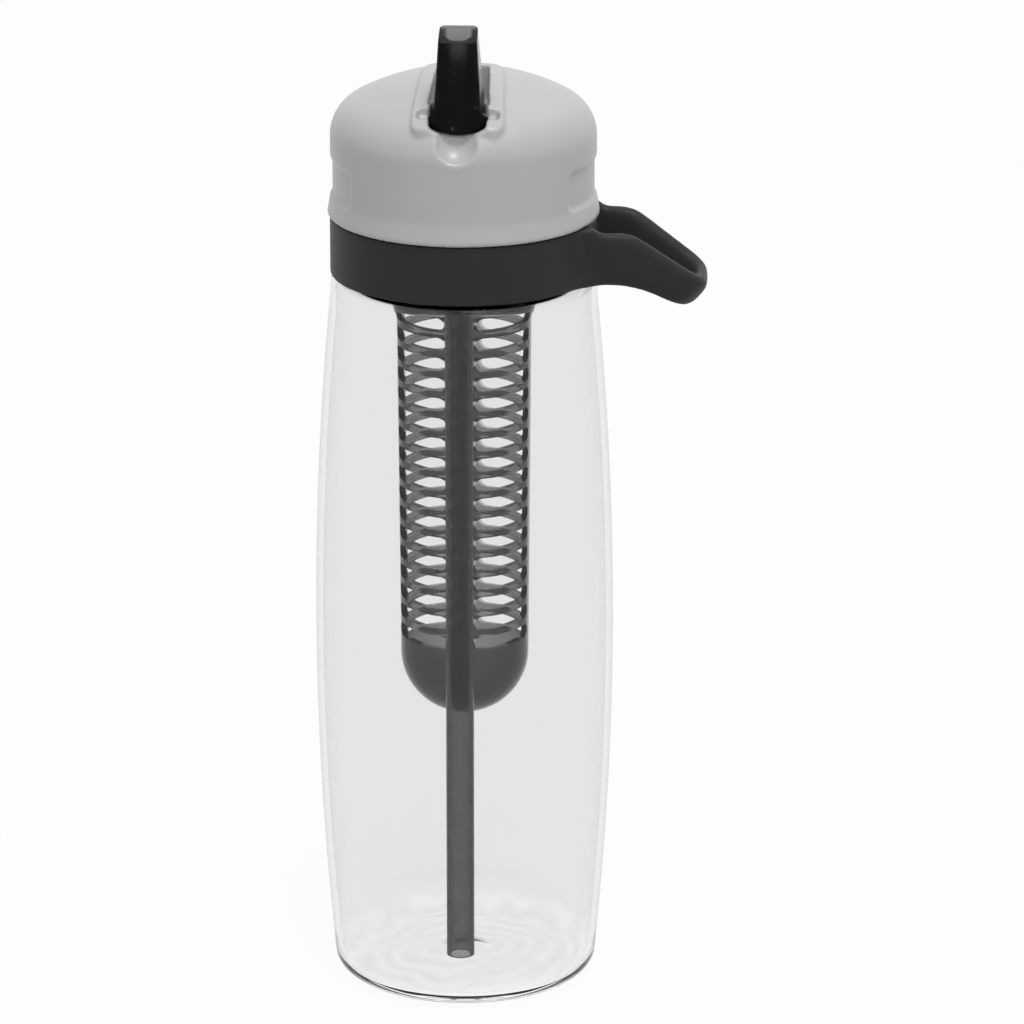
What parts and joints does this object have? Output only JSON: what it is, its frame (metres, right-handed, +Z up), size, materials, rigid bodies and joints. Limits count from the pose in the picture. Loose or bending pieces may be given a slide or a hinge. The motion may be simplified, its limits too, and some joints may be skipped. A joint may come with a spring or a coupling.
{
  "type": "fruit infuser water bottle",
  "caption": "Clear barrel-shaped water bottle with a domed screw lid, flip-up drinking spout, straw, hanging slotted fruit infuser and a swivelling carry ring with a finger loop.",
  "frame": {"origin": "centre of the standing rim under the base, on the bottle's axis", "axes": "+Z up along the bottle's axis, spout opens towards -Y, carry loop points to +X"},
  "size_m": [0.1045, 0.08, 0.2673],
  "materials": {
    "clear_body": "clear glossy moulded plastic",
    "charcoal_ring": "soft matt",
    "grey_lid": "satin",
    "liner_plastic": "satin",
    "silicone": "translucent silicone",
    "smoke_spout": "glossy smoke tint",
    "smoke_plastic": "glossy smoke tint"
  },
  "bodies": {
    "bottle": {"bottle_body": "clear_body"},
    "ring": {"carry_ring": "charcoal_ring"},
    "lid": {"lid_shell": "grey_lid", "lid_liner": "liner_plastic", "lid_gasket": "silicone", "spout_seal": "silicone", "vent_valve": "silicone", "straw": "smoke_plastic"},
    "spout": {"spout": "smoke_spout"},
    "basket": {"infuser_basket": "smoke_plastic"}
  },
  "joints": [
    {"name": "lid_lift", "type": "slide", "parent": "bottle", "child": "lid", "axis": [0, 0, 1], "range_m": [0, 0.24]},
    {"name": "ring_swivel", "type": "hinge", "parent": "bottle", "child": "ring", "pos_m": [0, 0, 0.204], "axis": [0, 0, 1], "continuous": true},
    {"name": "spout_flip", "type": "hinge", "parent": "lid", "child": "spout", "pos_m": [0, -0.0234, 0.2425], "axis": [-1, 0, 0], "range_deg": [0, 80]},
    {"name": "basket_release", "type": "slide", "parent": "lid", "child": "basket", "axis": [0, 0, -1], "range_m": [0, 0.02]}
  ]
}
